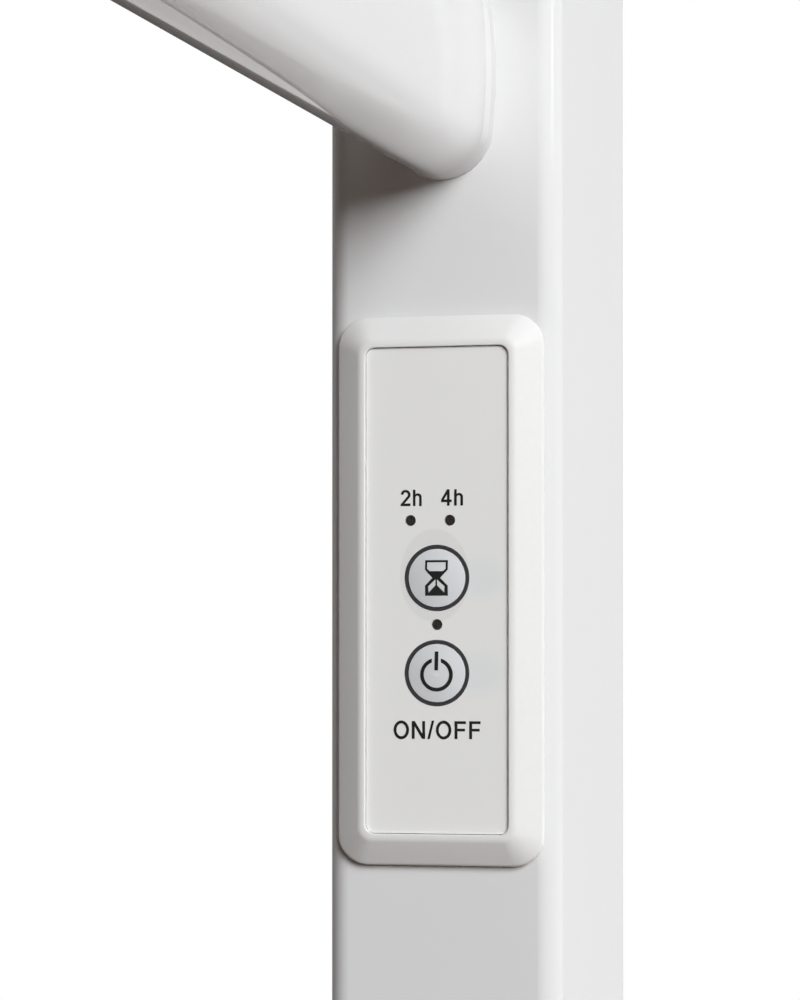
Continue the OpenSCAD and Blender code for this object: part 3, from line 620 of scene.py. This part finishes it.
def print_on(name, outlines, node, body, material, spread=0):
    """Prints filled outlines, with holes where they nest, on a CAD node's face. Ink spreads."""
    curve = bpy.data.curves.new(name, "CURVE")
    curve.dimensions = "2D"
    curve.fill_mode = "BOTH"
    curve.offset = spread
    for outline in outlines:
        spline = curve.splines.new("POLY")
        spline.points.add(len(outline) - 1)
        spline.use_cyclic_u = True
        for point, (x, y) in zip(spline.points, outline):
            point.co = (x, y, 0, 1)
    flat = bpy.data.objects.new(name + "_flat", curve)
    scene.collection.objects.link(flat)
    bpy.context.view_layer.update()
    filled = flat.evaluated_get(bpy.context.evaluated_depsgraph_get()).to_mesh()
    shape = bmesh.new()
    shape.from_mesh(filled)
    bpy.data.objects.remove(flat)
    bmesh.ops.remove_doubles(shape, verts=shape.verts, dist=1e-4)
    xs = [x for outline in outlines for x, y in outline]
    ys = [y for outline in outlines for x, y in outline]
    for axis, low, high in ((Vector((1, 0, 0)), min(xs), max(xs)),
                            (Vector((0, 1, 0)), min(ys), max(ys))):
        for k in range(math.ceil(low / facet), math.floor(high / facet) + 1):
            bmesh.ops.bisect_plane(
                shape, geom=shape.verts[:] + shape.edges[:] + shape.faces[:],
                plane_co=axis * (k * facet), plane_no=axis)
    bmesh.ops.recalc_face_normals(shape, faces=shape.faces)
    below = bmesh.ops.extrude_face_region(shape, geom=shape.faces[:], use_keep_orig=True)
    sunk = {v for v in below["geom"] if isinstance(v, bmesh.types.BMVert)}
    face = BVHTree.FromObject(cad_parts[node], bpy.context.evaluated_depsgraph_get())
    for v in shape.verts:
        over = Vector(panel_point(v.co.x, v.co.y, 20))
        hit = face.ray_cast(over, Vector((1, 0, 0)))[0]
        v.co = hit + Vector((ink_t * MM if v in sunk else -ink_t * MM, 0, 0))
    return to_piece(name, shape, body, material)


black_ink = grained("black_screen_ink", "#0c0a09", "#070606", 0.3, 0.001, (0.6, 0.7), IOR=1.45)
ring_ink = grained("dark_grey_screen_ink", ring_grey, "#2f2e31", 0.3, 0.001, (0.4, 0.5), IOR=1.5)
ink_spread = 0.035

cap_height = 2.6
stem = 0.36
two = [arc(0.8, 1.8, 0.79, 0.8, 172, -22) + [
    (0.52, stem), (1.58, stem), (1.58, 0), (0, 0), (0, 0.27)]
    + arc(0.8, 1.8, 0.43, 0.44, -28, 172)]
four = [[(0, 0.58), (0, 0.94), (1.0, cap_height), (1.36, cap_height), (1.36, 0.93), (1.71, 0.93),
         (1.71, 0.58), (1.36, 0.58), (1.36, 0), (0.99, 0), (0.99, 0.58)],
        [(0.38, 0.93), (0.99, 0.93), (0.99, 1.94)]]
aitch = [[(0, 0), (0, cap_height), (stem, cap_height), (stem, 1.74)]
         + arc(0.8, 1.38, 0.61, 0.61, 130, 0)
         + [(1.41, 0), (1.05, 0)]
         + arc(0.71, 1.34, 0.34, 0.35, 0, 170)
         + [(stem, 1.2), (stem, 0)]]
hours_v = 13.8
print_on("printed_two_hours", shifted(two, -6.06, hours_v) + shifted(aitch, -4.0, hours_v),
         "panel_fascia", "rail", black_ink, ink_spread)
print_on("printed_four_hours", shifted(four, 0.73, hours_v) + shifted(aitch, 2.92, hours_v),
         "panel_fascia", "rail", black_ink, ink_spread)

tall = 2.84
bold = 0.42
letter_o = [arc(1.25, tall / 2, 1.27, 1.5, 0, 360, 48)[:-1],
            arc(1.25, tall / 2, 1.27 - bold, 1.5 - bold, 0, 360, 48)[:-1]]
letter_n = [[(0, 0), (0, tall), (0.45, tall), (1.76, 0.7), (1.76, tall), (2.17, tall),
             (2.17, 0), (1.71, 0), (bold, 2.12), (bold, 0)]]
slash = [[(0, -0.03), (0.34, -0.03), (1.07, tall + 0.08), (0.73, tall + 0.08)]]
letter_f = [[(0, 0), (0, tall), (1.83, tall), (1.83, tall - 0.38), (bold, tall - 0.38),
             (bold, 1.63), (1.68, 1.63), (1.68, 1.25), (bold, 1.25), (bold, 0)]]
switch_v = -24.2
on_off = [(letter_o, -7.24), (letter_n, -4.19), (slash, -1.57), (letter_o, -0.13),
          (letter_f, 2.98), (letter_f, 5.43)]
print_on("printed_on_off",
         [outline for letter, u in on_off for outline in shifted(letter, u, switch_v)],
         "panel_fascia", "rail", black_ink, ink_spread)


def circles(v, *radii):
    return [arc(0, v, r, r, 0, 360, 96)[:-1] for r in radii]


ring_r = 5.42
print_on("printed_key_rings", circles(timer_v, ring_r, seat_r) + circles(power_v, ring_r, seat_r),
         "panel_fascia", "rail", ring_ink)

# Keys: moulded silicone caps under a clear domed film, cool grey. Their rims are inked dark,
# and their marks are printed on top: an hourglass for the timer, ring and bar for the mains.
key_grain = 0.3
rim_in = 4.83
key_film, where = new_material("domed_key_film")
speckle = add_node(key_film, "TexNoise", {
    "Vector": where, "Scale": 1 / (key_grain * MM), "Detail": 2})
key_tone = add_node(key_film, "Mix", {
    "Factor": speckle.outputs["Fac"], "A": linear("#dddfe1"), "B": linear("#d9dbdd")},
    data_type="RGBA")
key_gloss = add_node(key_film, "MapRange", {
    "Value": speckle.outputs["Fac"], "To Min": 0.3, "To Max": 0.4})
key_skin = add_node(key_film, "Bump", {
    "Height": speckle.outputs["Fac"], "Distance": 0.002 * MM, "Strength": 1})
finish_with(key_film, add_node(key_film, "BsdfPrincipled", {
    "Base Color": inked_rim(key_film, where, key_tone.outputs["Result"], rim_in, seat_r),
    "Roughness": key_gloss.outputs["Result"], "IOR": 1.5,
    "Normal": key_skin.outputs["Normal"]}))
dress(key_film, "timer_button", "power_button")

glass_w, glass_h = 1.9, 2.9
shoulder = 1.35
waist = 0.65
hourglass = [
    [(-glass_w, glass_h), (-glass_w, shoulder), (-waist, 0), (-glass_w, 0.1 - shoulder),
     (-glass_w, -glass_h), (glass_w, -glass_h), (glass_w, 0.1 - shoulder), (waist, 0),
     (glass_w, shoulder), (glass_w, glass_h)],
    [(-1.55, 2.55), (-1.55, 1.48), (-1.12, 1.1), (1.12, 1.1), (1.55, 1.48), (1.55, 2.55)],
    [(-0.13, -0.24), (-0.13, -1.2), (-1.3, -2.38), (-1.38, -1.38)],
    [(0.13, -0.24), (0.13, -1.2), (1.3, -2.38), (1.38, -1.38)],
]
print_on("printed_hourglass", shifted(hourglass, 0, timer_v), "timer_button", "timer_key",
         black_ink)

power_r, power_line, gap_half = 2.74, 0.62, 0.75
mark_v = -0.27
cut_out = math.degrees(math.acos(gap_half / power_r))
cut_in = math.degrees(math.acos(gap_half / (power_r - power_line)))
power = [
    arc(0, mark_v, power_r, power_r, 180 - cut_out, 360 + cut_out, 64)
    + arc(0, mark_v, power_r - power_line, power_r - power_line, 360 + cut_in, 180 - cut_in, 64),
    [(-0.31, 0.44), (0.31, 0.44), (0.31, 3.52), (-0.31, 3.52)],
]
print_on("printed_power_mark", shifted(power, 0, power_v), "power_button", "power_key",
         black_ink)

# Brackets: a chrome plated pin screwed to each post slides in a socket on the wall, which is
# turned from steel bar and powder coated with the frame. Chrome is mirror bright, with faint
# marks of the buff along it.
buff_width = 0.6
chrome, where = new_material("buffed_chrome_plate")
drawn = add_node(chrome, "VectorMath", {0: where, 1: (1, 0.06, 1)}, operation="MULTIPLY")
buffed = add_node(chrome, "TexNoise", {
    "Vector": drawn.outputs["Vector"], "Scale": 1 / (buff_width * MM), "Detail": 2})
chrome_tint = add_node(chrome, "Mix", {
    "Factor": buffed.outputs["Fac"], "A": linear("#dfe1e3"), "B": linear("#d5d8dc")},
    data_type="RGBA")
chrome_gloss = add_node(chrome, "MapRange", {
    "Value": buffed.outputs["Fac"], "To Min": 0.05, "To Max": 0.14})
chrome_skin = add_node(chrome, "Bump", {
    "Height": buffed.outputs["Fac"], "Distance": 0.001 * MM, "Strength": 1})
finish_with(chrome, add_node(chrome, "BsdfPrincipled", {
    "Base Color": chrome_tint.outputs["Result"], "Metallic": 1,
    "Roughness": chrome_gloss.outputs["Result"], "Normal": chrome_skin.outputs["Normal"]}))
dress(chrome, "bracket_pins")
dress(powder_coat, "wall_sockets")

# Floor: white paper under the rail. It keeps the rail's shadow close by, and runs into the
# white of the backdrop further off. It throws only a little warm light back on the rail, so
# that the shade under the bars stays deep.
floor_half = 6
floor_z = -1.3
fade_from, fade_to = 1.2, 2.4
paper_back, paper_back_shade = "#5a4a41", "#57483f"
paper_white = 0.85
fibre_width = 40
floor_mesh = bpy.data.meshes.new("floor")
floor_mesh.from_pydata(
    [(x * floor_half, y * floor_half, floor_z) for x, y in ((-1, -1), (1, -1), (1, 1), (-1, 1))],
    [], [(0, 1, 2, 3)])
floor = bpy.data.objects.new("floor", floor_mesh)
scene.collection.objects.link(floor)
paper, where = new_material("white_paper")
seen = add_node(paper, "LightPath")
fibre = add_node(paper, "TexNoise", {"Vector": where, "Scale": 1 / (fibre_width * MM)})
paper_tint = add_node(paper, "Mix", {
    "Factor": fibre.outputs["Fac"], "A": linear(paper_back), "B": linear(paper_back_shade)},
    data_type="RGBA")
lit = add_node(paper, "BsdfDiffuse", {"Color": paper_tint.outputs["Result"]})
glow = add_node(paper, "Emission", {"Color": (1, 1, 1, 1), "Strength": paper_white})
near = add_node(paper, "AddShader", {0: lit.outputs[0], 1: glow.outputs[0]})
backdrop = add_node(paper, "Emission", {"Color": (1, 1, 1, 1), "Strength": 1})
off = add_node(paper, "VectorMath", {0: where}, operation="LENGTH")
far = add_node(paper, "MapRange", {
    "Value": off.outputs["Value"], "From Min": fade_from, "From Max": fade_to},
    interpolation_type="SMOOTHSTEP")
swept = add_node(paper, "MixShader", {
    0: far.outputs["Result"], 1: near.outputs[0], 2: backdrop.outputs[0]})
shown = add_node(paper, "Math", {
    0: seen.outputs["Is Camera Ray"], 1: seen.outputs["Is Glossy Ray"]}, operation="MAXIMUM")
finish_with(paper, add_node(paper, "MixShader", {
    0: shown.outputs[0], 1: lit.outputs[0], 2: swept.outputs[0]}))
floor.data.materials.append(paper)

# Backdrop: white all round. Reflections show it less bright, and dimmest towards the wall
# behind the rail. The light that it sends on the rail is faint and warm.
mirror_dim, mirror_bright = 0.1, 0.75
mirror_back, mirror_front = 0.24, -0.1
studio = bpy.data.worlds.new("studio")
scene.world = studio
studio.use_nodes = True
studio.node_tree.nodes.clear()
path = add_node(studio, "LightPath")
white_to = add_node(studio, "Math", {
    0: path.outputs["Is Camera Ray"], 1: path.outputs["Is Transmission Ray"]},
    operation="MAXIMUM")
facing = add_node(studio, "SeparateXYZ", {
    "Vector": add_node(studio, "TexCoord").outputs["Generated"]})
mirror_level = add_node(studio, "MapRange", {
    "Value": facing.outputs["Y"], "From Min": mirror_back, "From Max": mirror_front,
    "To Min": mirror_dim, "To Max": mirror_bright})
dim = add_node(studio, "Background", {"Color": linear("#ffd8b4"), "Strength": 0.04})
mirror = add_node(studio, "Background", {
    "Color": (1, 1, 1, 1), "Strength": mirror_level.outputs["Result"]})
white = add_node(studio, "Background", {"Color": (1, 1, 1, 1), "Strength": 1})
unseen = add_node(studio, "MixShader", {
    0: path.outputs["Is Glossy Ray"], 1: dim.outputs[0], 2: mirror.outputs[0]})
sky = add_node(studio, "MixShader", {
    0: white_to.outputs[0], 1: unseen.outputs[0], 2: white.outputs[0]})
add_node(studio, "OutputWorld", {"Surface": sky.outputs[0]})

# Lamps: large softboxes, given by the angle from the front towards the left, the height in
# degrees, the distance and side in metres, and the power in watts. Only the window shows in
# reflections.
lamps = {
    "key_softbox": (51, 22, 4.4, 2.3, 213),
    "window": (20, 17, 4.4, 1.3, 15),
    "top_fill": (20, 84, 2.6, 1.6, 9),
    "low_fill": (-45, -20, 2.2, 1.2, 42),
    "back_fill": (-152, 25, 4.4, 2.4, 80),
}
target = Vector((post_face, panel_y, panel_z + 60 * MM))
for name, (azimuth, height, distance, size, power_w) in lamps.items():
    a, e = math.radians(azimuth), math.radians(height)
    lamp = bpy.data.objects.new(name, bpy.data.lights.new(name, "AREA"))
    scene.collection.objects.link(lamp)
    lamp.data.shape = "SQUARE"
    lamp.data.size = size
    lamp.data.energy = power_w
    lamp.data.color = linear("#fbfdff")[:3]
    lamp.visible_glossy = name == "window"
    away = Vector((-math.sin(a) * math.cos(e), -math.cos(a) * math.cos(e), math.sin(e)))
    lamp.location = target + away * distance
    lamp.rotation_euler = (-away).to_track_quat("-Z", "Y").to_euler()

scene.view_settings.view_transform = "Standard"
